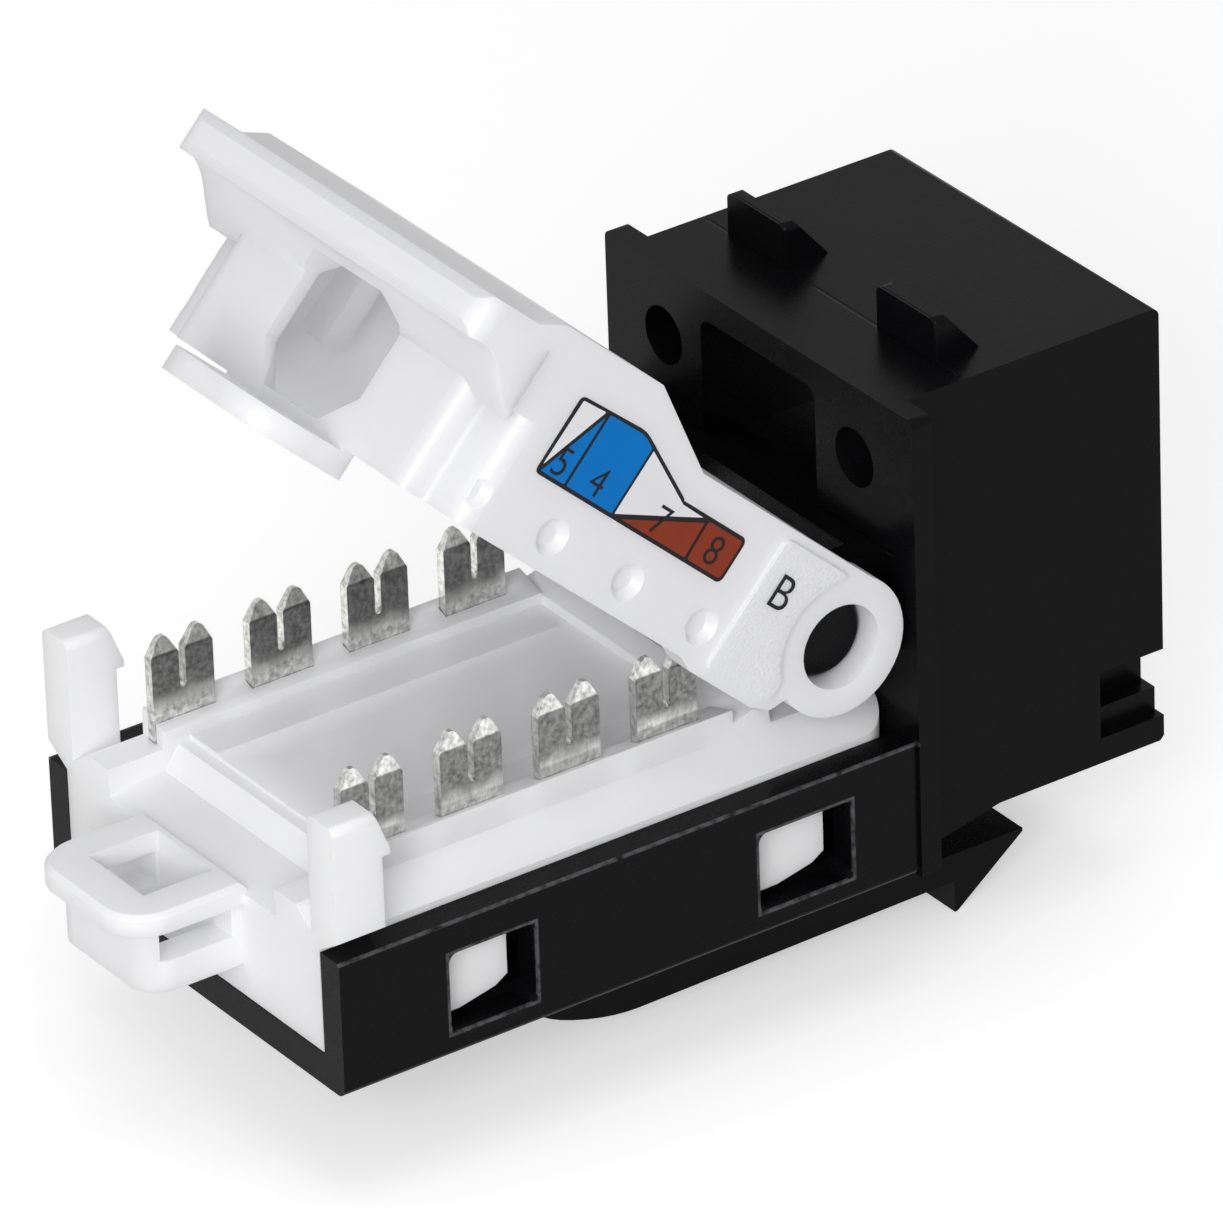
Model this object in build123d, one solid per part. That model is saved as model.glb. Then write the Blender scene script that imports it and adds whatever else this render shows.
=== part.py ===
from build123d import *
import math
import os

os.makedirs("parts", exist_ok=True)

# Keystone jack: a telecom socket with a flip-over wiring lid.
# Lengths are in millimetres. While modelling, Z is counted from the tray's
# underside and Y from the socket's front face, towards the wires.
# Everything is shifted at the end so that the origin is the middle of the port.

# Fits
FIT_GAP = 0.05
PIN_GAP = 0.05
SNAP_GAP = 0.3
SLIT_GAP = 0.03

# Housing block and flange
BLOCK_W = 14.5
BLOCK_TOP = 17.0
BLOCK_BOTTOM = 0.71
BLOCK_L = 11.0
FLANGE_T = 0.8
FLANGE_STEP = 0.15

# Tray: the flange, the posts and the lid take their widths from it
TRAY_W = 16.9
TRAY_END = 33.85
TRAY_WALL = 1.07
TRAY_TOP = 5.03
FLOOR_T = 1.23
FLANGE_W = TRAY_W + 2 * FLANGE_STEP
LID_X = TRAY_W / 2 - FIT_GAP
WINDOW_H = 2.95
WINDOW_BOTTOM = 0.9
WINDOWS = ((13.65, 17.4), (26.25, 29.65))

# Port for the plug
PORT_W = 11.8
PORT_BOTTOM = 4.5
PORT_TOP = 11.3
PORT_DEPTH = BLOCK_L - 1.3
TAB_MOUTH_W = 6.2
TAB_MOUTH_TOP = 12.9
TAB_W = 6.4
TAB_TOP = 15.95
TAB_SHOULDER = 1.4
SILL_TOP = PORT_TOP + 0.3
POCKET_X = 5.35
POCKET_Z = 14.35
POCKET_R = 1.05
POCKET_DEPTH = 4.0
PORT_MID = (PORT_BOTTOM + PORT_TOP) / 2

# Latch arm and panel lugs
ARM_W = 10.1
ARM_TOP = -2.16
ARM_UNDER = -3.3
ARM_TIP = 4.3
HOOK_Y = 7.15
HOOK_DROP = 4.38
ARM_ROOT = 25.6
ARM_BEND = ARM_ROOT - 5.6
ARM_SLOT_END = 21.5
LUG_IN = 2.6
LUG_OUT = 5.75
LUG_REAR = 8.0
LUG_TOP = 18.55

# Hinge
HINGE_Y = 13.89
HINGE_Z = 9.64
PIN_R = 1.45
RING_HOLE_R = PIN_R + PIN_GAP
RING_R = 2.5
RING_IN = LID_X - 1.4
BRACKET_OUT = RING_IN - 0.15
BRACKET_IN = RING_IN - 1.1
BRACKET_R = 1.95
PIN_END = RING_IN + 0.5
SHELF_UNDER = 7.6
SHELF_TOP = 11.6

# Wiring contacts
PITCH = 3.85
FIRST_Y = 18.93
CONTACT_X = 5.47
CONTACT_T = 0.4
CONTACT_W = 2.4
CONTACT_TOP = 10.0
SLIT_W = 0.26
SLIT_BOTTOM = 8.05
CONTACT_YS = [FIRST_Y + PITCH * k for k in range(4)]

# Circuit board
BOARD_W = 11.7
BOARD_T = 1.6
BOARD_Z = FLOOR_T + 0.42
BOARD_TOP = BOARD_Z + BOARD_T
BOARD_FRONT = 3.2
BOARD_END = 32.3
HOLE_R = 0.42
HOLE_SIDES = 12
PIN_TIP = BOARD_Z - 0.25

# White wiring base
BASE_X = TRAY_W / 2 - TRAY_WALL - FIT_GAP
BASE_FRONT = BLOCK_L + 0.1
BASE_UNDER = BOARD_TOP + FIT_GAP
PLATE_EDGE = 5.25
PLATE_MID = 6.2
RAIL_TOP = 7.6
RAIL_OUT = 6.05
RAIL_IN = 4.8
RAIL_FRONT = 16.6
RAIL_END = 31.65
CHANNEL_Z = 6.4
DISH_DEPTH = 0.3
DISH_W = 6.4
DISH_L = 15.0
POST_OUT = TRAY_W / 2 - FIT_GAP
POST_IN = POST_OUT - 1.45
POST_FRONT = 31.98
POST_TOP = 9.95
BARB_Z = 8.35
BARB_TIP = 0.3
POST_GAP = 0.35
LOOP_W = 6.0
LOOP_END = 38.3
LOOP_TOP = 5.5
LOOP_UNDER = 2.4
LOOP_RIM = 0.75
LOOP_HOLE_W = 3.2
LOOP_HOLE_FRONT = 34.1
LOOP_HOLE_END = 36.75

# Socket springs
SPRING_PITCH = 1.016
SPRING_W = 0.42
SPRING_T = 0.3
SPRING_HOLE_R = 0.3
SPRING_TIP = (PORT_DEPTH - 0.7, 7.4)
SPRING_BEND = (3.35, 4.95)
TAIL_YS = (4.1, 5.4)

# Lid, drawn closed: U runs back from the hinge axis and W runs up from it
LID_OPEN = 43.0
LID_WALL = 1.15
LID_EDGE = -2.95
NECK_W = 2.45
ROOF_W = 4.18
ROOF_T = 1.0
ROOF_START = 2.6
SLOPE_START = 9.38
SLOPE_END = 12.95
ROOF_END = 17.9
HOOD_START = 18.9
HOOD_END = 21.3
HOOD_UNDER = 2.25
HOOD_TOP = 3.75
HOOD_R = 0.8
CORNER_U = POST_FRONT - BARB_TIP - SNAP_GAP - HINGE_Y
CHEEK_END = 16.5
END_HALF = POST_IN - POST_GAP
END_IN = FIRST_Y + 3 * PITCH + CONTACT_W / 2 + 0.13 - HINGE_Y
END_OUT = 18.5
WINDOW_HALF = 2.7
WINDOW_TOP = 1.9
WINDOW_LOW = -2.65
SCOOP_R = 0.66
SCOOP_DEPTH = 0.35
SCOOP_U = 0.78
SCOOP_W = -1.78
TONGUE_HALF = 3.3
TONGUE_END = 22.2
TONGUE_R = 2.2
TONGUE_TOP = LID_EDGE - 0.1
TONGUE_T = 0.85
PUSHER_IN = CONTACT_X + 0.53


# Shapes used more than once
def span(x0, x1, y0, y1, z0, z1):
    centre = Pos((x0 + x1) / 2, (y0 + y1) / 2, (z0 + z1) / 2)
    return centre * Box(x1 - x0, y1 - y0, z1 - z0)


def outline(points):
    pairs = zip(points, points[1:] + points[:1])
    area = sum(a[0] * b[1] - b[0] * a[1] for a, b in pairs)
    return Polygon(*(points if area > 0 else points[::-1]), align=None)


def from_side(points, x0, x1):
    return extrude(Plane.YZ.offset(x0) * outline(points), x1 - x0)


def from_above(points, z0, z1):
    return extrude(Plane.XY.offset(z0) * outline(points), z1 - z0)


def from_end(points, y0, y1):
    plane = Plane(origin=(0, y1, 0), x_dir=(1, 0, 0), z_dir=(0, -1, 0))
    return extrude(plane * outline(points), y1 - y0)


def disc(radius, x0, x1, y, z):
    return extrude(Plane.YZ.offset(x0) * Pos(y, z) * Circle(radius), x1 - x0)


def both(shape):
    return shape + mirror(shape, about=Plane.YZ)


def side_window(y0, y1, z0, z1, x0, x1, radius):
    face = Pos((y0 + y1) / 2, (z0 + z1) / 2) * RectangleRounded(y1 - y0, z1 - z0, radius)
    return extrude(Plane.YZ.offset(x0) * face, x1 - x0)


# Housing: block, flange, tray, lugs, latch arm and hinge brackets in one moulding
def make_housing():
    half = BLOCK_W / 2
    block = from_side(
        [(0, 0.87), (0.16, BLOCK_BOTTOM), (BLOCK_L - 4.19, BLOCK_BOTTOM), (BLOCK_L - 1.72, 0.19),
         (BLOCK_L - 0.7, 0), (BLOCK_L, 0), (BLOCK_L, BLOCK_TOP), (0, BLOCK_TOP)], -half, half)
    block = fillet(block.edges().filter_by(Axis.X).group_by(Axis.Z)[-1].sort_by(Axis.Y)[0], 0.3)
    flange = span(-FLANGE_W / 2, FLANGE_W / 2, BLOCK_L - FLANGE_T, BLOCK_L, 0, BLOCK_TOP)
    flange = fillet(flange.edges().filter_by(Axis.Y).group_by(Axis.Z)[-1], 0.3)
    tray = span(-TRAY_W / 2, TRAY_W / 2, BLOCK_L - 0.2, TRAY_END, 0, TRAY_TOP)
    tray = fillet(tray.edges().filter_by(Axis.Y).group_by(Axis.Z)[0], 0.4)
    inner = TRAY_W / 2 - TRAY_WALL
    tray -= span(-inner, inner, BLOCK_L, TRAY_END + 1, FLOOR_T, TRAY_TOP + 1)
    body = block + flange + tray

    # port, tab channel, board bay and the two round pockets in the rear face
    body -= span(-PORT_W / 2, PORT_W / 2, -1, PORT_DEPTH, PORT_BOTTOM, PORT_TOP)
    body -= span(-TAB_MOUTH_W / 2, TAB_MOUTH_W / 2, -1, TAB_SHOULDER + 0.1, PORT_TOP - 0.1, TAB_MOUTH_TOP)
    channel = span(-TAB_W / 2, TAB_W / 2, TAB_SHOULDER, BLOCK_L + 1, PORT_TOP - 0.1, TAB_TOP)
    channel = fillet(channel.edges().filter_by(Axis.Y).group_by(Axis.Z)[-1], 0.5)
    sill = span(-TAB_W, TAB_W, PORT_DEPTH, BLOCK_L + 2, PORT_TOP - 0.2, SILL_TOP)
    body -= channel - sill
    bay = BOARD_W / 2 + 0.15
    body -= span(-bay, bay, BOARD_FRONT - 0.3, BLOCK_L + 0.1, FLOOR_T, PORT_BOTTOM + 0.1)
    pocket = Plane(origin=(POCKET_X, BLOCK_L - POCKET_DEPTH, POCKET_Z), z_dir=(0, 1, 0)) * Circle(POCKET_R)
    body -= both(extrude(pocket, POCKET_DEPTH + 1))

    # stepped notches low on both sides of the front
    body -= both(span(half - 0.5, half + 1, -1, 2.62, 1.65, 4.16))
    body -= both(span(half - 1.25, half + 1, -1, 2.62, 2.5, 4.16))

    # lugs on top
    lug = from_side(
        [(LUG_REAR, BLOCK_TOP - 0.5), (LUG_REAR, LUG_TOP), (LUG_REAR - 0.5, LUG_TOP),
         (LUG_REAR - 1.8, BLOCK_TOP), (LUG_REAR - 1.8, BLOCK_TOP - 0.5)], LUG_IN, LUG_OUT)
    lug = fillet(lug.edges().filter_by(Axis.Y).group_by(Axis.Z)[-1], 0.25)
    body += both(lug)

    # shelf and hinge brackets with their pins
    body += span(-BRACKET_IN, BRACKET_IN, BLOCK_L - 0.1, BLOCK_L + 0.8, SHELF_UNDER + 1, SHELF_TOP)
    root = Polyline((BLOCK_L - 0.2, SHELF_UNDER), (BLOCK_L - 0.2, SHELF_TOP), (BLOCK_L + 1.4, SHELF_TOP))
    eye = Pos(HINGE_Y, HINGE_Z) * Circle(BRACKET_R)
    ear_side = make_hull(root.edges() + eye.edges())
    ear = extrude(Plane.YZ.offset(BRACKET_IN - 0.1) * ear_side, BRACKET_OUT - BRACKET_IN + 0.1)
    pin = disc(PIN_R, BRACKET_OUT - 0.1, PIN_END, HINGE_Y, HINGE_Z)
    pin = chamfer(pin.edges().group_by(Axis.X)[-1], 0.15)
    body += both(ear + pin)

    # latch arm: sprung from the tray's floor, with a rounded slot above it
    belly = Spline((ARM_BEND, ARM_UNDER), (ARM_BEND + 2.2, ARM_UNDER + 0.35), (ARM_BEND + 3.4, ARM_UNDER + 0.8),
                   (ARM_ROOT, 0.0), tangents=((1, 0), (0.45, 1)))
    edge = Polyline(
        (ARM_ROOT, 0.0), (ARM_ROOT, 0.5), (ARM_TIP, 0.5), (ARM_TIP, ARM_TOP - 0.12), (HOOK_Y - 0.1, -HOOK_DROP),
        (HOOK_Y, -HOOK_DROP), (HOOK_Y, ARM_UNDER + 0.1), (ARM_BEND, ARM_UNDER))
    arm = extrude(Plane.YZ.offset(-ARM_W / 2) * make_face(belly.edges() + edge.edges()), ARM_W)
    slot_r = -ARM_TOP / 2
    slot = span(-ARM_W, ARM_W, -1, ARM_SLOT_END - slot_r, ARM_TOP, 0)
    slot += disc(slot_r, -ARM_W, ARM_W, ARM_SLOT_END - slot_r, -slot_r)
    arm -= slot
    arm -= span(-ARM_W, ARM_W, -1, BLOCK_L, -0.1, 1)
    body += arm

    # latch windows in the tray's walls, and two rails that carry the board
    for y0, y1 in WINDOWS:
        body -= both(side_window(y0, y1, WINDOW_BOTTOM, WINDOW_BOTTOM + WINDOW_H, inner - 0.01, TRAY_W, 0.35))
    body += both(span(4.2, 4.8, BOARD_FRONT, BOARD_END - 1, FLOOR_T - 0.1, BOARD_Z))
    return body


# White base: plate, rails, channel, posts, loop and snap legs in one moulding
def make_base():
    plate = from_end(
        [(-BASE_X, BASE_UNDER), (BASE_X, BASE_UNDER), (BASE_X, PLATE_EDGE), (RAIL_OUT, PLATE_MID),
         (-RAIL_OUT, PLATE_MID), (-BASE_X, PLATE_EDGE)], BASE_FRONT, TRAY_END)
    plate = fillet(plate.edges().filter_by(Axis.Z).group_by(Axis.Y)[0], 1.2)
    rail = from_side(
        [(RAIL_FRONT, BASE_UNDER + 0.5), (RAIL_END, BASE_UNDER + 0.5), (RAIL_END, RAIL_TOP),
         (RAIL_FRONT, RAIL_TOP)], RAIL_IN, RAIL_OUT)
    rail = fillet(rail.edges().filter_by(Axis.X).group_by(Axis.Z)[-1], 0.6)
    base = plate + both(rail)
    base += span(-RAIL_IN - 0.1, RAIL_IN + 0.1, RAIL_FRONT, RAIL_END - 1, BASE_UNDER + 0.5, CHANNEL_Z)

    # shallow dish along the channel, and the ridge across its front end
    across_r = (DISH_W / 2) ** 2 / (2 * DISH_DEPTH) + DISH_DEPTH / 2
    along_r = (DISH_L / 2) ** 2 / (2 * DISH_DEPTH) + DISH_DEPTH / 2
    end_plane = Plane(origin=(0, TRAY_END, 0), x_dir=(1, 0, 0), z_dir=(0, -1, 0))
    across = extrude(end_plane * Pos(0, CHANNEL_Z + across_r - DISH_DEPTH) * Circle(across_r), 20)
    middle = (RAIL_FRONT + RAIL_END) / 2
    along = disc(along_r, -DISH_W, DISH_W, middle, CHANNEL_Z + along_r - DISH_DEPTH)
    base -= across & along
    ridge = from_side(
        [(RAIL_FRONT - 1.7, 5.0), (RAIL_FRONT - 1.4, 6.7), (RAIL_FRONT - 0.8, 6.95), (RAIL_FRONT, 6.7),
         (RAIL_FRONT + 0.4, 5.0)], -RAIL_OUT, RAIL_OUT)
    base += ridge
    # the rear end falls away so that the lid's tongue clears it
    fall = TRAY_END - 2.95
    base -= from_side(
        [(fall, 7.0), (fall, 6.45), (fall + 0.8, 5.4), (TRAY_END + 1.15, 5.05), (TRAY_END + 1.15, 7.0)],
        -RAIL_IN, RAIL_IN)
    base += span(-BASE_X, BASE_X, BOARD_END + 0.15, TRAY_END, FLOOR_T + FIT_GAP, BASE_UNDER + 0.1)

    # barbed posts at the rear corners
    seen_from_end = from_end(
        [(POST_IN, 4.9), (BASE_X, 4.9), (BASE_X, TRAY_TOP + FIT_GAP), (POST_OUT, 5.75), (POST_OUT, POST_TOP),
         (POST_IN, POST_TOP)], POST_FRONT - 1, TRAY_END)
    barb_y = POST_FRONT - BARB_TIP
    seen_from_side = from_side(
        [(POST_FRONT, 4.8), (TRAY_END, 4.8), (TRAY_END, POST_TOP), (POST_FRONT + 0.22, POST_TOP),
         (barb_y, BARB_Z + 0.25), (barb_y, BARB_Z), (POST_FRONT, BARB_Z)], POST_IN - 1, POST_OUT + 1)
    post = seen_from_end & seen_from_side
    post = fillet(post.edges().filter_by(Axis.Y).group_by(Axis.Z)[-1], 0.3)
    base += both(post)

    # cable-tie loop
    half = LOOP_W / 2
    rim_under = LOOP_TOP - LOOP_RIM
    rim = span(-half, half, TRAY_END - 0.15, LOOP_END, rim_under, LOOP_TOP)
    rim = fillet(rim.edges().filter_by(Axis.Z).group_by(Axis.Y)[-1], 1.6)
    rim = chamfer(rim.faces().sort_by(Axis.Z)[-1].edges(), 0.18)
    skirt = span(0.25 - half, half - 0.25, TRAY_END - 0.15, LOOP_END - 0.8, LOOP_UNDER, rim_under + 0.05)
    skirt = fillet(skirt.edges().filter_by(Axis.Z).group_by(Axis.Y)[-1], 1.1)
    loop = rim + skirt
    hole = LOOP_HOLE_W / 2
    loop -= span(-hole, hole, LOOP_HOLE_FRONT, LOOP_HOLE_END, 2, 6)
    loop -= span(-half - 1, half + 1, LOOP_HOLE_FRONT + 0.1, LOOP_HOLE_END + 0.15, 3.55, rim_under)
    base += loop

    # snap legs that fill the tray's windows
    for y0, y1 in WINDOWS:
        profile = [(y0 + 0.72, BASE_UNDER + 0.3), (y0 + 0.72, 1.9), (y0 + 1.2, 1.6), (y0 + 2.6, 1.3),
                   (y1 - FIT_GAP, 1.28), (y1 - FIT_GAP, BASE_UNDER + 0.3)]
        leg = from_side(profile, BASE_X - 0.9, BASE_X)
        in_window = [(y, min(z, WINDOW_BOTTOM + WINDOW_H - 0.1)) for y, z in profile]
        leg += from_side(in_window, BASE_X - 0.1, BASE_X + 0.45)
        base += both(leg)

    # a slit for each contact
    for y in CONTACT_YS:
        slit = Box(CONTACT_T + 2 * SLIT_GAP, CONTACT_W + 2 * SLIT_GAP, 2 * RAIL_TOP)
        base -= both(Pos(CONTACT_X, y, BASE_UNDER - 1 + RAIL_TOP) * slit)
    return base


# Forked contact that cuts into the wire's sheath
def make_contact():
    half = CONTACT_W / 2
    slit = SLIT_W / 2
    foot = BASE_UNDER + 0.1
    right = [(slit, SLIT_BOTTOM), (slit, 9.3), (0.48, 9.9), (0.6, CONTACT_TOP), (0.76, CONTACT_TOP), (0.9, 9.9),
             (half, 9.3), (half, foot), (0.25, foot), (0.25, PIN_TIP + 0.15), (0.12, PIN_TIP)]
    left = [(-y, z) for y, z in reversed(right)]
    plate = from_side(right + left, -CONTACT_T / 2, CONTACT_T / 2)
    plate -= disc(slit, -CONTACT_T, CONTACT_T, 0, SLIT_BOTTOM)
    t = CONTACT_T / 2
    blade = from_end(
        [(-t, PIN_TIP - 1), (t, PIN_TIP - 1), (t, 9.3), (t / 2, CONTACT_TOP), (-t / 2, CONTACT_TOP), (-t, 9.3)],
        -half, half)
    return plate & blade


# Board with plated holes for both sets of contacts
def spring_places():
    return [((k - 3.5) * SPRING_PITCH, TAIL_YS[k % 2]) for k in range(8)]


def make_board():
    board = span(-BOARD_W / 2, BOARD_W / 2, BOARD_FRONT, BOARD_END, BOARD_Z, BOARD_TOP)
    board = fillet(board.edges().filter_by(Axis.Z), 0.5)
    places = [(side * CONTACT_X, y, HOLE_R) for side in (-1, 1) for y in CONTACT_YS]
    places += [(x, y, SPRING_HOLE_R) for x, y in spring_places()]
    for x, y, radius in places:
        hole = Plane.XY.offset(BOARD_Z - 1) * Pos(x, y) * RegularPolygon(radius, HOLE_SIDES)
        board -= extrude(hole, BOARD_T + 2)
    return board


# Carrier that guides the springs' tails and tips
def make_carrier():
    half = PORT_W / 2 - 0.1
    carrier = span(-half, half, BOARD_FRONT, PORT_DEPTH - 0.1, BOARD_TOP + FIT_GAP, 3.95)
    carrier += span(-half, half, PORT_DEPTH - 1.2, PORT_DEPTH - 0.1, 3.9, 8.3)
    for x, y in spring_places():
        carrier -= span(x - SPRING_HOLE_R, x + SPRING_HOLE_R, y - SPRING_HOLE_R, y + SPRING_HOLE_R, 2, 5)
        carrier -= span(x - 0.32, x + 0.32, PORT_DEPTH - 1.7, PORT_DEPTH - 0.35, 6.2, 9)
    return carrier


def make_spring(x, tail_y):
    path = FilletPolyline((tail_y, PIN_TIP), (tail_y, 4.35), SPRING_BEND, SPRING_TIP, radius=0.3)
    return extrude(Plane.YZ.offset(x - SPRING_W / 2) * trace(path, SPRING_T), SPRING_W)


# Lid, drawn closed round the hinge axis
def make_lid():
    cheek = [(0, NECK_W), (SLOPE_START, NECK_W), (SLOPE_END, ROOF_W), (ROOF_END, ROOF_W), (ROOF_END, 1.0),
             (CHEEK_END, 1.0), (CHEEK_END, LID_EDGE), (5.9, LID_EDGE), (5.2, LID_EDGE - 0.25),
             (2.0, LID_EDGE - 0.25), (1.2, LID_EDGE), (0.6, -2.0)]
    wall = from_side(cheek, LID_X - LID_WALL, LID_X)
    wall += disc(RING_R, RING_IN, LID_X, 0, 0)
    pad = span(LID_X - 0.1, FLANGE_W / 2, 1.6, 4.8, -2.85, 2.1)
    pad = fillet(pad.edges().filter_by(Axis.X), 0.3) - disc(RING_R + 0.05, 0, LID_X + 1, 0, 0)
    wall = wall + pad - disc(RING_HOLE_R, 0, LID_X + 1, 0, 0)

    # roof
    roof = from_side(
        [(ROOF_START, NECK_W), (SLOPE_START, NECK_W), (SLOPE_END, ROOF_W), (ROOF_END, ROOF_W),
         (ROOF_END, ROOF_W - ROOF_T), (SLOPE_END + 0.2, ROOF_W - ROOF_T), (SLOPE_START + 0.2, NECK_W - ROOF_T),
         (ROOF_START, NECK_W - ROOF_T)], 0.2 - LID_X, LID_X - 0.2)

    # hood with a hollow brow that clears the posts, and the end wall between them
    brow_low = HOOD_UNDER - 1.65
    brow = Spline((HOOD_END - 0.3, HOOD_UNDER), (HOOD_END - 1.7, HOOD_UNDER - 0.25),
                  (HOOD_START - 0.3, HOOD_UNDER - 1.1), (END_IN, brow_low))
    top = Polyline((END_IN, brow_low), (END_IN, ROOF_W - ROOF_T), (ROOF_END - 0.4, ROOF_W - ROOF_T),
                   (ROOF_END - 0.4, ROOF_W), (ROOF_END, ROOF_W), (HOOD_START, HOOD_TOP),
                   (HOOD_END - 0.3, HOOD_TOP), (HOOD_END, HOOD_TOP - 0.35), (HOOD_END, HOOD_UNDER + 0.35),
                   (HOOD_END - 0.3, HOOD_UNDER))
    hood = extrude(Plane.YZ.offset(-LID_X) * make_face(brow.edges() + top.edges()), 2 * LID_X)
    hood = fillet(hood.edges().filter_by(Axis.Z).group_by(Axis.Y)[-1], HOOD_R)
    curve = Spline((LID_X, CHEEK_END + 0.15), (POST_IN + 0.6, CORNER_U - 0.06),
                   (END_HALF + 0.15, CORNER_U + 0.1), (END_HALF - 0.65, END_OUT), tangents=((0, 1), (-1, 0)))
    rest = Polyline((END_HALF - 0.65, END_OUT), (0, END_OUT), (0, END_IN), (END_HALF - 0.5, END_IN),
                    (LID_X - LID_WALL, CHEEK_END - 0.1), (LID_X, CHEEK_END - 0.1), (LID_X, CHEEK_END + 0.15))
    plan = make_face(curve.edges() + rest.edges())
    end = both(extrude(Plane.XY.offset(LID_EDGE) * plan, 1.2 - LID_EDGE))
    lid = both(wall) + roof + hood + end

    # window for the cable, with cut corners and a tapering mouth
    w = WINDOW_HALF
    frame = [(-w, WINDOW_LOW + 1.3), (1.2 - w, WINDOW_LOW), (w - 1.2, WINDOW_LOW), (w, WINDOW_LOW + 1.3),
             (w, WINDOW_TOP - 0.6), (w - 0.8, WINDOW_TOP), (0.8 - w, WINDOW_TOP), (-w, WINDOW_TOP - 0.6)]
    mouth = Plane(origin=(0, END_OUT + 1.0, 0), x_dir=(1, 0, 0), z_dir=(0, -1, 0))
    lid -= extrude(mouth * outline(frame), 3)

    # tongue under the cable
    tongue = span(-TONGUE_HALF, TONGUE_HALF, END_IN, TONGUE_END, TONGUE_TOP - TONGUE_T, TONGUE_TOP)
    tongue = fillet(tongue.edges().filter_by(Axis.Z).group_by(Axis.Y)[-1], TONGUE_R)
    tongue += span(-TONGUE_HALF, TONGUE_HALF, END_IN, END_OUT, TONGUE_TOP - 0.1, LID_EDGE + 0.2)
    lid += tongue

    # shallow scoops where the wires leave, one beside each contact
    for y in CONTACT_YS:
        scoop = Cone(SCOOP_R * 0.6, SCOOP_R, SCOOP_DEPTH)
        lid -= both(Pos(LID_X - SCOOP_DEPTH / 2 + 0.01, y - HINGE_Y + SCOOP_U, SCOOP_W) * Rot(0, 90, 0) * scoop)

    # pushers that seat the wires on either side of each contact
    for y in CONTACT_YS:
        u = y - HINGE_Y
        top = NECK_W - 0.5 if u < SLOPE_START else ROOF_W - ROOF_T + 0.2
        lid += both(span(PUSHER_IN, LID_X - LID_WALL + 0.1, u - 0.5, u + 0.5, -0.7, top))
    return Pos(0, HINGE_Y, HINGE_Z) * Rot(LID_OPEN, 0, 0) * lid


# Every solid under its own name
pieces = {
    "housing": make_housing(),
    "idc_base": make_base(),
    "circuit_board": make_board(),
    "contact_carrier": make_carrier(),
    "lid": make_lid(),
}
contact = make_contact()
for number, (side, y) in enumerate([(s, y) for s in (-1, 1) for y in CONTACT_YS], start=1):
    pieces[f"idc_contact_{number}"] = Pos(side * CONTACT_X, y, 0) * contact
for number, (x, y) in enumerate(spring_places(), start=1):
    pieces[f"socket_contact_{number}"] = make_spring(x, y)

for name, piece in pieces.items():
    moved = Pos(0, 0, -PORT_MID) * piece
    export_step(moved, f"parts/{name}.step")
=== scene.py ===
import math

import bpy
from mathutils import Matrix, Vector


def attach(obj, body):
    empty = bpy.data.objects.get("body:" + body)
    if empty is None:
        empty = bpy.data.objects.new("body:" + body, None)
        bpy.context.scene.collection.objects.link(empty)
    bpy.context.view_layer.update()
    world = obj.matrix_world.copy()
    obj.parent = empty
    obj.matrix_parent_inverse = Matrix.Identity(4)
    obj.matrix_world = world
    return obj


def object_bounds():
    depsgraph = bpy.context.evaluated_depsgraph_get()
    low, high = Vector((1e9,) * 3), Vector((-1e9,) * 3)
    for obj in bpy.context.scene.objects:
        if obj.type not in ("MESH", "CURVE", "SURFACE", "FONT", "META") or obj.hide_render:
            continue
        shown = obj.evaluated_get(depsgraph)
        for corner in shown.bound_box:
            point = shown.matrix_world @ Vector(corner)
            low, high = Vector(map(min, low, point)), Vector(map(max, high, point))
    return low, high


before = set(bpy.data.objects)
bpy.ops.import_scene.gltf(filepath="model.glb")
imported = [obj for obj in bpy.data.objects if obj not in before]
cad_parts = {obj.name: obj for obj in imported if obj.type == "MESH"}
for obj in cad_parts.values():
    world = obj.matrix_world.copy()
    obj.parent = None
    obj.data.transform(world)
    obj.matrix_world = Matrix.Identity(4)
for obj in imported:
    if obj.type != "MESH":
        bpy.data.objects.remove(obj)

bl_info = {
    "name": "Keystone Jack Dresser",
    "version": (1, 0, 0),
    "blender": (4, 5, 0),
    "location": "View3D > Sidebar > Keystone",
    "description": "Dresses the keystone jack's solids and lights them for the photograph's view",
    "category": "Object",
}

CAD_BOX = [list(corner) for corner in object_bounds()]
MM = 0.001

# The hinge axis in metres and the lid's opening at rest
HINGE = Vector((0.0, 13.89, 1.74)) * MM
LID_OPEN = math.radians(43.0)

# The lid's near wall, and the grained pad round its hinge that carries the letter, in millimetres
LID_SIDE = -8.4
PAD_LIFT = 0.2
PAD_BACK = (1.5, 4.9)
PAD_UP = (-3.3, 2.2)
PAD_OUT = 8.5

# The wiring contacts' middle plane, half thickness and the height above which their broad faces get a
# painted dark reflection, in millimetres
CONTACT_X = 5.47
CONTACT_HALF = 0.2
REFLECTION_DARK_FROM = -0.25

# The tray's side, rim and front end, the two latch windows in it, in millimetres, and the grey of the
# highlight painted along their edges
TRAY_SIDE = 8.35
TRAY_RIM = -2.87
TRAY_FRONT = 11.0
WINDOW_BACK = ((13.65, 17.4), (26.25, 29.65))
WINDOW_UP = (-7.0, -4.05)
EDGE_HIGHLIGHT_GREY = (0.09, 0.09, 0.095)

# Two fine lines in the housing's bump, across its top and along its rear wall, in millimetres
STEP_BACK = (7.9, 8.02)
STEP_UP = 8.9
STEP_OUT = 7.0
SEAM_BACK = 10.8
SEAM_UP = (3.64, 3.76)
SEAM_OUT = (3.3, 7.4)

# The board's weave and tracks as sines, in radians per millimetre, and its top and the reach beyond which
# painted shade darkens its rim, in millimetres
WEAVE_RATE = 9.0
TRACK_RATE = 3.1
BOARD_TOP = -4.7
BOARD_SHADE_FROM = 5.7

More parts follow.
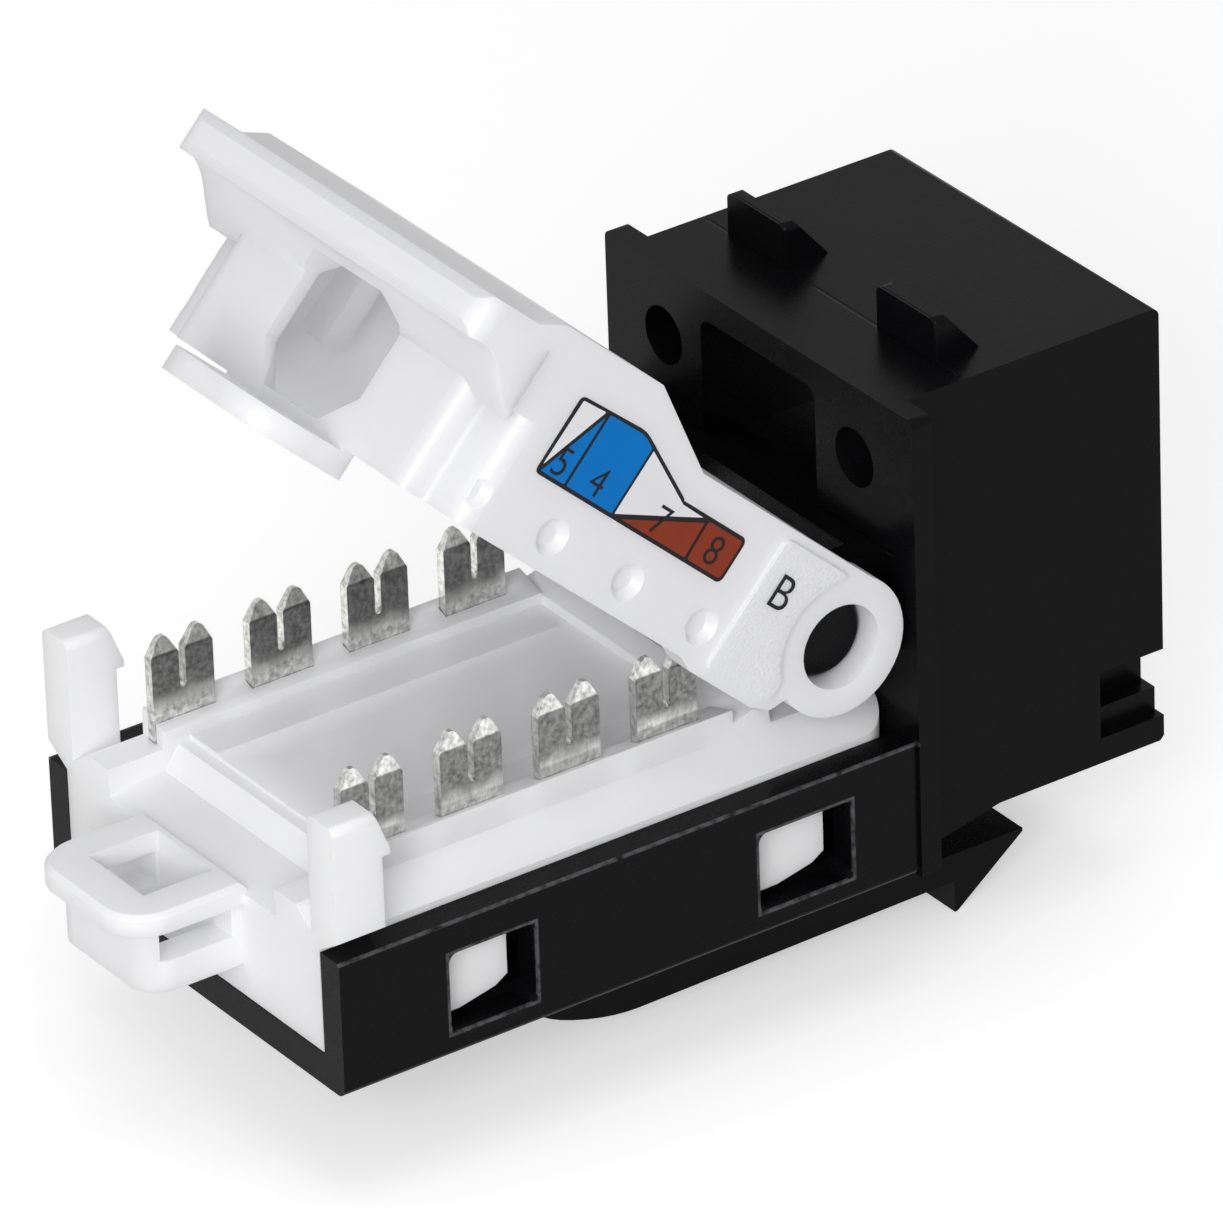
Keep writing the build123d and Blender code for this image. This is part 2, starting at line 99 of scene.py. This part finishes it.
# The floor's width in metres. For camera, glossy and transmission rays: its own white's share and strength,
# its paler paper, and the backdrop
FLOOR_SIZE = 1.6
FLOOR_SHARE = 0.1
FLOOR_GLOW = 4.4
FLOOR_PALE = (0.95, 0.95, 0.95)
BACKDROP = (0.8, 0.8, 0.8, 1.0)
WHITE = (1.0, 1.0, 1.0, 1.0)

# The welding distance in metres, and the bevel's steps and least angle, for the mouldings' edges
WELD = 0.000001
BEVEL_STEPS = 2
BEVEL_FROM = math.radians(35.0)

# Print on the lid, in millimetres: a field's plane before it is cut, its thickness and each layer's lift
PLATE_SIZE = 80.0
CUT_SLACK = 0.0001
CORNER_STEPS = 4
PRINT_THICK = 0.012
FIELD_LIFT = 0.012
UNDERLAP = -0.003
MARK_LIFT = 0.03
MARK_THICK = 0.006
MARK_THIN = -0.012

# The label's black outline, as back and up from the hinge in millimetres
OUTLINE_REAR = [(15.72, -0.3), (15.72, 2.56), (12.65, 2.66), (12.34, 2.60), (9.4, 1.40), (9.4, -0.3)]
OUTLINE_FRONT = [(9.8, -0.3), (9.8, 1.39), (6.17, 1.39), (6.17, -0.3)]

# Its fields: name, ink, corner radius and corners
FIELDS = (
    ("white_5", "white", 0.05, [(15.59, 0.05), (15.55, 2.44), (14.46, 2.49)]),
    ("blue_5", "blue", 0.05, [(15.52, -0.16), (14.36, 2.35), (14.36, -0.16)]),
    ("blue_4", "blue", 0.05, [(14.23, -0.16), (14.23, 2.49), (12.6, 2.52), (12.33, 2.46),
                              (11.91, 2.28), (11.91, -0.16)]),
    ("white_7", "white", 0.03, [(11.79, -0.12), (11.79, 2.23), (9.44, 1.27), (9.44, 0.82)]),
    ("white_7_tip", "white", 0.0, [(9.45, 0.815), (9.45, 1.27), (8.38, 1.25)]),
    ("brown_7", "brown", 0.03, [(11.42, -0.16), (8.2, 1.13), (8.15, -0.16)]),
    ("brown_8", "brown", 0.12, [(8.02, -0.16), (8.07, 1.25), (6.31, 1.25), (6.31, -0.16)]),
)

# Its figures and the letter on the pad: text, back and up of the middle, and the sizes of both kinds
FIGURES = (("5", 14.93, 0.37), ("4", 13.14, 0.42), ("7", 9.92, 0.4), ("8", 7.2, 0.47))
FIGURE_SIZE = 1.45
LETTER = ("B", 3.78, 0.44)
LETTER_SIZE = 1.72

# The soft lamps: name, place, aim and size in metres, and share of the key lamp's power
LAMPS = (
    ("lamp_top", (-0.06, 0.02, 0.36), (0.0, 0.015, 0.0), 0.24, 0.6),
    ("lamp_near", (-0.26, 0.29, 0.16), (0.0, 0.02, 0.0), 0.22, 3.2),
    ("lamp_side", (-0.34, -0.10, 0.20), (0.0, 0.015, 0.0), 0.22, 0.1),
)

# The camera's shift, sensor width in millimetres, near and far limits in metres, and right and up
CAMERA_SHIFT = (0.0023, -0.0010)
SENSOR = 36.0
CAMERA_REACH = (0.01, 10.0)
CAMERA_RIGHT = (-0.576505, -0.8165, -0.031136)
CAMERA_UP = (0.385444, -0.305355, 0.870742)


# Shader maths
class Wire:
    """A node socket that takes part in sums."""

    def __init__(self, tree, socket):
        self.tree, self.socket = tree, socket

    def math(self, operation, *others, clamp=False):
        node = self.tree.nodes.new("ShaderNodeMath")
        node.operation, node.use_clamp = operation, clamp
        for slot, value in zip(node.inputs, (self, *others)):
            if isinstance(value, Wire):
                self.tree.links.new(value.socket, slot)
            else:
                slot.default_value = value
        return Wire(self.tree, node.outputs[0])

    def __add__(self, other):
        return self.math("ADD", other)

    def __sub__(self, other):
        return self.math("SUBTRACT", other)

    def __mul__(self, other):
        return self.math("MULTIPLY", other)

    def __truediv__(self, other):
        return self.math("DIVIDE", other)

    def __neg__(self):
        return self.math("MULTIPLY", -1.0)

    def __radd__(self, other):
        return self.math("ADD", other)

    def __rsub__(self, other):
        return -self + other

    def abs(self):
        return self.math("ABSOLUTE")

    def clamp(self):
        return self.math("ADD", 0.0, clamp=True)

    def above(self, edge, soft):
        """0 below edge, rising to 1 over soft."""
        return ((self - edge) / soft + 0.5).clamp()

    def band(self, low, high, soft):
        return self.above(low, soft) * (1.0 - self.above(high, soft))


class Graph:
    """A node tree and the ways to add to it."""

    def __init__(self, tree):
        self.tree = tree

    def node(self, kind, settings=None, output=0, **inputs):
        made = self.tree.nodes.new(kind)
        for key, value in (settings or {}).items():
            setattr(made, key, value)
        for key, value in inputs.items():
            slot = made.inputs[key.replace("_", " ")]
            if isinstance(value, Wire):
                self.tree.links.new(value.socket, slot)
            else:
                slot.default_value = value
        return made if output is None else Wire(self.tree, made.outputs[output])

    def seen(self):
        """1 for camera, glossy and transmission rays."""
        path = self.node("ShaderNodeLightPath", output=None)
        camera, glossy, through = (Wire(self.tree, path.outputs[f"Is {kind} Ray"])
                                   for kind in ("Camera", "Glossy", "Transmission"))
        return (camera + glossy + through).clamp()

    def blend(self, factor, first, second, out):
        """Send a mix of two shaders to an output node."""
        mix = self.node("ShaderNodeMixShader", output=None)
        for wire, slot in zip((factor, first, second), mix.inputs):
            self.tree.links.new(wire.socket, slot)
        self.tree.links.new(mix.outputs[0], self.tree.nodes[out].inputs["Surface"])


class Finish(Graph):
    """One procedural material on Object coordinates, in millimetres."""

    def __init__(self, name, **uniform):
        self.material = bpy.data.materials.new(name)
        self.material.use_nodes = True
        super().__init__(self.material.node_tree)
        self.shader = self.tree.nodes["Principled BSDF"]
        for socket, value in uniform.items():
            self.shader.inputs[socket.replace("_", " ")].default_value = value
        coordinates = self.node("ShaderNodeTexCoord", output="Object")
        self.place = self.node("ShaderNodeVectorMath", {"operation": "SCALE"},
                               Vector=coordinates, Scale=1 / MM)
        split = self.node("ShaderNodeSeparateXYZ", output=None, Vector=self.place)
        self.x, self.y, self.z = (Wire(self.tree, split.outputs[axis]) for axis in "XYZ")

    def noise(self, scale, detail=3.0, place=None):
        return self.node("ShaderNodeTexNoise", Vector=place or self.place, Scale=scale, Detail=detail)

    def speckle(self, scale):
        return self.node("ShaderNodeTexVoronoi", Vector=self.place, Scale=scale)

    def stretched(self, x, y, z):
        return self.node("ShaderNodeMapping", Vector=self.place, Scale=(x, y, z))

    def ramp(self, factor, low, high):
        made = self.node("ShaderNodeValToRGB", Fac=factor, output=None)
        made.color_ramp.elements[0].color = (*low, 1.0)
        made.color_ramp.elements[1].color = (*high, 1.0)
        return Wire(self.tree, made.outputs["Color"])

    def mix(self, factor, first, second):
        node = self.tree.nodes.new("ShaderNodeMix")
        node.data_type = "RGBA"
        slots = [s for s in node.inputs if s.enabled]
        for slot, value in zip(slots, (factor, first, second)):
            if isinstance(value, Wire):
                self.tree.links.new(value.socket, slot)
            else:
                slot.default_value = (*value, 1.0) if isinstance(value, tuple) else value
        return Wire(self.tree, next(s for s in node.outputs if s.enabled))

    def around(self, back, up, width):
        """1 on a line of that width round an upright rectangle."""
        beyond = [(axis - (low + high) / 2).abs() - (high - low) / 2
                  for axis, (low, high) in ((self.y, back), (self.z, up))]
        return beyond[0].math("MAXIMUM", beyond[1]).band(-0.02, width, 0.04)

    def drive(self, socket, wire):
        self.tree.links.new(wire.socket, self.shader.inputs[socket])

    def relief(self, height, microns):
        """Bump of that height, scaled to a depth in thousandths of a millimetre."""
        bump = self.node("ShaderNodeBump", Height=height, Strength=1.0, Distance=microns * MM / 1000)
        self.tree.links.new(bump.socket, self.shader.inputs["Normal"])

    def in_lid(self):
        """Distances back from the hinge and up from it when the lid is closed."""
        back = self.y - HINGE.y / MM
        up = self.z - HINGE.z / MM
        cos, sin = math.cos(LID_OPEN), math.sin(LID_OPEN)
        return back * cos + up * sin, up * cos - back * sin


def black_plastic(settings):
    f = Finish("black_plastic", Specular_IOR_Level=0.07, IOR=1.47)
    cloud = f.noise(0.35)
    grain = f.noise(14.0, 4.0)
    # painted highlight: grey speckled along the tray's rim and round its latch windows, in place of the
    # glints on those edges
    edge_highlight = f.z.band(TRAY_RIM - 0.09, TRAY_RIM + 0.05, 0.03) * f.y.above(TRAY_FRONT, 0.1)
    for back in WINDOW_BACK:
        edge_highlight = edge_highlight + f.around(back, WINDOW_UP, 0.1)
    edge_highlight = edge_highlight * f.x.abs().above(TRAY_SIDE, 0.04) * f.noise(3.0, 5.0).above(0.42, 0.3)
    black = f.ramp(cloud * 0.6 + grain * 0.4, (0.002, 0.002, 0.0026), (0.0048, 0.0048, 0.0056))
    f.drive("Base Color", f.mix(edge_highlight.clamp(), black, EDGE_HIGHLIGHT_GREY))
    f.drive("Roughness", (settings.black_gloss + (cloud - 0.5) * 0.16 + (grain - 0.5) * 0.12).clamp())
    step = f.y.band(*STEP_BACK, 0.05) * f.z.above(STEP_UP, 0.1) * (1.0 - f.x.abs().above(STEP_OUT, 0.1))
    seam = f.z.band(*SEAM_UP, 0.04) * f.y.above(SEAM_BACK, 0.1) * f.x.abs().band(*SEAM_OUT, 0.1)
    f.relief(grain * 0.35 + cloud * 0.4 - step * 2.0 - seam * 3.0, 12)
    return f.material


# What both white mouldings share: a gloss and a little light that scatters inside
WHITE_BODY = {"Specular_IOR_Level": 0.4, "IOR": 1.49, "Subsurface_Weight": 0.4,
              "Subsurface_Radius": (1.0, 1.0, 1.0), "Subsurface_Scale": 0.002}


def white_plastic(settings):
    f = Finish("white_plastic", **WHITE_BODY)
    flow = f.noise(0.18, 2.0, f.stretched(1.0, 0.35, 1.0))
    grain = f.noise(11.0, 4.0)
    white = settings.base_white
    f.drive("Base Color", f.ramp(flow * 0.8 + grain * 0.2, (white * 0.96, white * 0.96, white * 0.985),
                                 (white, white, white * 1.015)))
    f.drive("Roughness", (settings.white_gloss + (flow - 0.5) * 0.15 + (grain - 0.5) * 0.1).clamp())
    f.relief(grain * 0.3 + flow * 1.2, 10)
    return f.material


def lid_plastic(settings):
    f = Finish("lid_plastic", **WHITE_BODY)
    flow = f.noise(0.2, 2.0)
    grain = f.noise(11.0, 4.0)
    rough = f.speckle(9.0)
    back, up = f.in_lid()
    pad = back.band(*PAD_BACK, 0.1) * up.band(*PAD_UP, 0.1) * f.x.abs().above(PAD_OUT, 0.05)
    white = settings.lid_white
    f.drive("Base Color", f.ramp(flow * 0.8 + grain * 0.2, (white * 0.96, white * 0.96, white * 0.985),
                                 (white, white, white * 1.015)))
    gloss = settings.white_gloss + pad * 0.2
    f.drive("Roughness", (gloss + (flow - 0.5) * 0.15 + (grain - 0.5) * 0.1).clamp())
    f.relief(grain * 0.3 + flow * 1.2 + pad * rough * 2.5, 10)
    return f.material


def tinned_metal(settings):
    f = Finish("tinned_metal", IOR=2.2)
    streak = f.noise(1.0, 5.0, f.stretched(9.0, 9.0, 0.8))
    patch = f.noise(1.1)
    pits = f.noise(5.0, 6.0)
    face = (f.x.abs() - CONTACT_X).abs().above(CONTACT_HALF - 0.015, 0.01)
    # painted dark reflection: above that height the broad faces take the dark copy of the tin, mottled by
    # noise, while edges, facets and the lower part keep the pale tin
    dark_reflection = face * (f.z + (patch - 0.5) * 0.9 + (pits - 0.5) * 0.8).above(REFLECTION_DARK_FROM, 0.6)
    bright = f.ramp((pits * 1.8 + streak * 0.6 - 0.55).clamp(), (0.22, 0.22, 0.21), (0.93, 0.93, 0.90))
    # the colour of the painted dark reflection
    dark = f.ramp((pits * 1.6 + streak * 0.4 - 0.5).clamp(), (0.06, 0.06, 0.058), (0.34, 0.34, 0.33))
    f.drive("Base Color", f.mix(dark_reflection, bright, dark))
    f.drive("Metallic", (0.98 - patch * 0.04).clamp())
    f.drive("Roughness", (0.10 + streak * 0.18).clamp())
    f.relief(streak, 6)
    return f.material


def gold_plate(settings):
    f = Finish("gold_plate", IOR=1.5)
    streak = f.noise(1.0, 4.0, f.stretched(10.0, 1.0, 1.0))
    f.drive("Base Color", f.ramp(streak, (0.72, 0.47, 0.17), (0.90, 0.66, 0.30)))
    f.drive("Metallic", (1.0 - streak * 0.05).clamp())
    f.drive("Roughness", (0.14 + streak * 0.2).clamp())
    f.relief(streak, 8)
    return f.material


def board_laminate(settings):
    f = Finish("board_laminate", Specular_IOR_Level=0.5, IOR=1.5)
    weave = (f.x * WEAVE_RATE).math("SINE") * (f.y * WEAVE_RATE).math("SINE")
    cloud = f.noise(0.6)
    track = (f.x * TRACK_RATE).math("SINE").above(0.82, 0.06) * f.z.above(BOARD_TOP, 0.05)
    green = f.ramp(cloud, (0.012, 0.085, 0.03), (0.02, 0.14, 0.05))
    # painted shade: the laminate darkens to near black beyond that reach from the middle, along the board's
    # rim
    rim_shade = f.x.abs().above(BOARD_SHADE_FROM, 0.1)
    f.drive("Base Color", f.mix(rim_shade, f.mix(track, green, (0.05, 0.24, 0.08)), (0.004, 0.012, 0.006)))
    f.drive("Roughness", (0.32 + weave * 0.05 + cloud * 0.1).clamp())
    f.relief(weave * 0.3 + track * 2.0, 12)
    return f.material


def carrier_plastic(settings):
    f = Finish("carrier_plastic", Specular_IOR_Level=0.4, IOR=1.5)
    cloud = f.noise(0.8)
    grain = f.noise(13.0, 4.0)
    f.drive("Base Color", f.ramp(cloud, (0.012, 0.012, 0.013), (0.022, 0.022, 0.024)))
    f.drive("Roughness", (0.5 + (grain - 0.5) * 0.2).clamp())
    f.relief(grain, 10)
    return f.material


def ink(name, dark, light):
    f = Finish(name, Specular_IOR_Level=0.12, IOR=1.5)
    cloud = f.noise(1.4)
    grain = f.noise(22.0, 4.0)
    f.drive("Base Color", f.ramp(cloud * 0.5 + grain * 0.5, dark, light))
    f.drive("Roughness", (0.45 + (grain - 0.5) * 0.2).clamp())
    f.relief(grain, 4)
    return f.material


# Mesh work
def deselect():
    if bpy.context.mode != "OBJECT":
        bpy.ops.object.mode_set(mode="OBJECT")
    bpy.ops.object.select_all(action="DESELECT")


def lid_matrix(side):
    """From back, up and outward on a lid wall to the row frame, all in metres."""
    turn = Matrix.Rotation(LID_OPEN, 4, "X")
    return Matrix.Translation(HINGE) @ turn @ Matrix.Translation((side * MM, 0.0, 0.0))


def settle(piece, material, body):
    """The piece rests at the origin, rides on its body and gets its finish."""
    deselect()
    piece.select_set(True)
    bpy.context.view_layer.objects.active = piece
    bpy.ops.object.transform_apply(location=True, rotation=True, scale=True)
    piece.data.materials.clear()
    piece.data.materials.append(material)
    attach(piece, body)
    return piece


def plate(name, corners, lift, material, rounding=0.0):
    """A flat convex field of print on the lid's near wall, cut to its corners in order."""
    deselect()
    bpy.ops.mesh.primitive_plane_add(size=PLATE_SIZE)
    piece = bpy.context.object
    piece.name = piece.data.name = name
    bpy.ops.object.mode_set(mode="EDIT")
    middle = sum((Vector(c) for c in corners), Vector((0.0, 0.0))) / len(corners)
    for first, second in zip(corners, corners[1:] + corners[:1]):
        along = Vector(second) - Vector(first)
        outward = Vector((along.y, -along.x)).normalized()
        if outward.dot(middle - Vector(first)) > 0:
            outward.negate()
        bpy.ops.mesh.select_all(action="SELECT")
        bpy.ops.mesh.bisect(plane_co=(*first, 0.0), plane_no=(*outward, 0.0),
                            clear_outer=True, threshold=CUT_SLACK)
    bpy.ops.mesh.select_all(action="SELECT")
    if rounding:
        bpy.ops.mesh.bevel(affect="VERTICES", offset=rounding, segments=CORNER_STEPS)
    bpy.ops.mesh.extrude_region_move(TRANSFORM_OT_translate={"value": (0.0, 0.0, PRINT_THICK)})
    bpy.ops.object.mode_set(mode="OBJECT")
    # the plane's X is back, its Y is up and its Z points out of the near wall
    upright = Matrix(((0, 0, -1, 0), (1, 0, 0, 0), (0, 1, 0, 0), (0, 0, 0, 1)))
    piece.matrix_world = lid_matrix(LID_SIDE - lift) @ upright @ Matrix.Scale(MM, 4)
    return settle(piece, material, "lid")


def letter(name, text, back, up, size, material, lift=MARK_LIFT):
    """A printed mark on the near wall, read with the hinge to the right."""
    deselect()
    bpy.ops.object.text_add()
    mark = bpy.context.object
    mark.data.body = text
    mark.data.size = size * MM
    mark.data.align_x, mark.data.align_y = "CENTER", "CENTER"
    mark.data.extrude = MARK_THICK * MM
    mark.data.offset = MARK_THIN * MM
    bpy.ops.object.convert(target="MESH")
    piece = bpy.context.object
    piece.name = piece.data.name = name
    # the mark's X runs towards the hinge and its Y is up
    upright = Matrix(((0, 0, -1, 0), (-1, 0, 0, 0), (0, 1, 0, 0), (0, 0, 0, 1)))
    spot = Matrix.Translation((0.0, back * MM, up * MM))
    piece.matrix_world = lid_matrix(LID_SIDE - lift) @ spot @ upright
    return settle(piece, material, "lid")


class KJ_Settings(bpy.types.PropertyGroup):
    """The look of the jack."""

    black_gloss: bpy.props.FloatProperty(
        name="Black roughness", description="Roughness of the black moulding",
        default=0.27, min=0, max=1, subtype="FACTOR")
    white_gloss: bpy.props.FloatProperty(
        name="White roughness", description="Roughness of the white mouldings",
        default=0.34, min=0, max=1, subtype="FACTOR")
    lid_white: bpy.props.FloatProperty(
        name="Lid white", description="Base colour of the lid",
        default=0.86, min=0, max=1, subtype="FACTOR")
    base_white: bpy.props.FloatProperty(
        name="Base white", description="Base colour of the wiring base",
        default=0.95, min=0, max=1, subtype="FACTOR")
    edge: bpy.props.FloatProperty(
        name="Edge radius", description="Softening of the moulded edges",
        default=0.0001, min=0, unit="LENGTH")


class KJ_View(bpy.types.PropertyGroup):
    """The photograph's view and the studio."""

    place: bpy.props.FloatVectorProperty(
        name="Camera place", description="Camera centre",
        default=(-0.32586, 0.23884, 0.22252), subtype="TRANSLATION", unit="LENGTH")
    lens: bpy.props.FloatProperty(
        name="Lens", description="Focal length in millimetres", default=406.35, min=1)
    lamp: bpy.props.FloatProperty(
        name="Key lamp", description="Power of the key lamp in watts", default=0.33, min=0)
    sky: bpy.props.FloatProperty(
        name="Sky", description="Strength of the even light", default=0.38, min=0)


def dress(nodes, material, edge=0.0):
    """The CAD nodes get a finish and, if wanted, softly rounded edges."""
    for name in nodes:
        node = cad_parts[name]
        node.data.materials.clear()
        node.data.materials.append(material)
        for slot in node.material_slots:
            slot.material = material
        if edge:
            node.modifiers.new("merged", "WELD").merge_threshold = WELD
            soft = node.modifiers.new("soft_edges", "BEVEL")
            soft.width, soft.segments, soft.limit_method = edge, BEVEL_STEPS, "ANGLE"
            soft.angle_limit = BEVEL_FROM


class KJ_OT_housing(bpy.types.Operator):
    """Finish the black housing"""

    bl_idname = "keystone.housing"
    bl_label = "Housing"

    def execute(self, context):
        settings = context.scene.kj_settings
        dress(["housing"], black_plastic(settings), settings.edge)
        return {"FINISHED"}


class KJ_OT_base(bpy.types.Operator):
    """Finish the white wiring base"""

    bl_idname = "keystone.base"
    bl_label = "Wiring base"

    def execute(self, context):
        settings = context.scene.kj_settings
        dress(["idc_base"], white_plastic(settings), settings.edge)
        return {"FINISHED"}


class KJ_OT_lid(bpy.types.Operator):
    """Finish the white lid"""

    bl_idname = "keystone.lid"
    bl_label = "Lid"

    def execute(self, context):
        settings = context.scene.kj_settings
        dress(["lid"], lid_plastic(settings), settings.edge)
        return {"FINISHED"}


class KJ_OT_contacts(bpy.types.Operator):
    """Finish the wiring contacts, the springs, the board and the carrier"""

    bl_idname = "keystone.contacts"
    bl_label = "Contacts and board"

    def execute(self, context):
        settings = context.scene.kj_settings
        dress([f"idc_contact_{n}" for n in range(1, 9)], tinned_metal(settings))
        dress([f"socket_contact_{n}" for n in range(1, 9)], gold_plate(settings))
        dress(["circuit_board"], board_laminate(settings))
        dress(["contact_carrier"], carrier_plastic(settings))
        return {"FINISHED"}


class KJ_OT_label(bpy.types.Operator):
    """Print the wiring colours, numbers and letter on the lid's near wall"""

    bl_idname = "keystone.label"
    bl_label = "Wiring label"

    def execute(self, context):
        black = ink("ink_black", (0.008, 0.008, 0.009), (0.02, 0.02, 0.022))
        blue = ink("ink_blue", (0.0, 0.15, 0.50), (0.0, 0.19, 0.58))
        brown = ink("ink_brown", (0.19, 0.026, 0.010), (0.30, 0.046, 0.018))
        white = ink("ink_white", (0.78, 0.78, 0.80), (0.82, 0.82, 0.84))
        inks = {"blue": blue, "brown": brown, "white": white}
        plate("label_line_rear", OUTLINE_REAR, 0.0, black, rounding=0.2)
        plate("label_line_front", OUTLINE_FRONT, UNDERLAP, black, rounding=0.25)
        for name, colour, rounding, corners in FIELDS:
            plate(f"label_{name}", corners, FIELD_LIFT, inks[colour], rounding)
        for text, back, up in FIGURES:
            letter(f"label_number_{text}", text, back, up, FIGURE_SIZE, black)
        letter("label_letter", *LETTER, LETTER_SIZE, black, lift=PAD_LIFT + MARK_LIFT)
        return {"FINISHED"}


class KJ_OT_stage(bpy.types.Operator):
    """Set the floor, the soft lamps and the camera"""

    bl_idname = "keystone.stage"
    bl_label = "Stage"

    def floor_finish(self):
        f = Finish("floor_paper", Roughness=0.9)
        seen = f.seen()
        paper = f.ramp(f.noise(0.02), (0.59, 0.59, 0.59), (0.61, 0.61, 0.61))
        f.drive("Base Color", f.mix(seen, paper, FLOOR_PALE))
        glow = f.node("ShaderNodeEmission", Color=WHITE, Strength=FLOOR_GLOW)
        f.blend(seen * FLOOR_SHARE, Wire(f.tree, f.shader.outputs[0]), glow, "Material Output")
        return f.material

    def sky(self, strength):
        world = bpy.data.worlds.new("studio")
        bpy.context.scene.world = world
        world.use_nodes = True
        air = Graph(world.node_tree)
        even = air.tree.nodes["Background"]
        even.inputs["Color"].default_value = WHITE
        even.inputs["Strength"].default_value = strength
        backdrop = air.node("ShaderNodeBackground", Color=BACKDROP, Strength=1.0)
        air.blend(air.seen(), Wire(air.tree, even.outputs[0]), backdrop, "World Output")

    def lamp(self, name, place, aim, size, power):
        deselect()
        bpy.ops.object.light_add(type="AREA", location=place)
        lamp = bpy.context.object
        lamp.name = name
        lamp.data.size, lamp.data.energy = size, power
        lamp.rotation_euler = (Vector(aim) - Vector(place)).to_track_quat("-Z", "Y").to_euler()

    def execute(self, context):
        view = context.scene.kj_view
        low = CAD_BOX[0][2]
        deselect()
        bpy.ops.mesh.primitive_plane_add(size=FLOOR_SIZE, location=(0.0, 0.0, low))
        floor = bpy.context.object
        floor.name = "floor"
        floor.data.materials.append(self.floor_finish())
        self.sky(view.sky)
        for name, place, aim, size, share in LAMPS:
            self.lamp(name, place, aim, size, view.lamp * share)
        deselect()
        bpy.ops.object.camera_add(location=view.place)
        camera = context.object
        right, up = Vector(CAMERA_RIGHT), Vector(CAMERA_UP)
        back = right.cross(up)
        turn = Matrix((right, up, back)).transposed().to_4x4()
        camera.matrix_world = Matrix.Translation(view.place) @ turn
        camera.data.lens = view.lens
        camera.data.sensor_width = SENSOR
        camera.data.shift_x, camera.data.shift_y = CAMERA_SHIFT
        camera.data.clip_start, camera.data.clip_end = CAMERA_REACH
        context.scene.camera = camera
        context.scene.view_settings.view_transform = "Standard"
        return {"FINISHED"}


class KJ_PT_panel(bpy.types.Panel):
    """The dresser's controls."""

    bl_idname = "KJ_PT_panel"
    bl_label = "Keystone Jack"
    bl_space_type = "VIEW_3D"
    bl_region_type = "UI"
    bl_category = "Keystone"

    def draw(self, context):
        settings, view = context.scene.kj_settings, context.scene.kj_view
        for group in (settings, view):
            box = self.layout.box()
            for name in group.__annotations__:
                box.prop(group, name)
        for step in STEPS:
            self.layout.operator(step.bl_idname)


STEPS = (KJ_OT_housing, KJ_OT_base, KJ_OT_lid, KJ_OT_contacts, KJ_OT_label, KJ_OT_stage)
CLASSES = (KJ_Settings, KJ_View, *STEPS, KJ_PT_panel)


def register():
    for item in CLASSES:
        bpy.utils.register_class(item)
    bpy.types.Scene.kj_settings = bpy.props.PointerProperty(type=KJ_Settings)
    bpy.types.Scene.kj_view = bpy.props.PointerProperty(type=KJ_View)


def unregister():
    del bpy.types.Scene.kj_view
    del bpy.types.Scene.kj_settings
    for item in reversed(CLASSES):
        bpy.utils.unregister_class(item)


def main():
    register()
    bpy.ops.keystone.housing()
    bpy.ops.keystone.base()
    bpy.ops.keystone.lid()
    bpy.ops.keystone.contacts()
    bpy.ops.keystone.label()
    bpy.ops.keystone.stage()


if __name__ == "__main__":
    main()
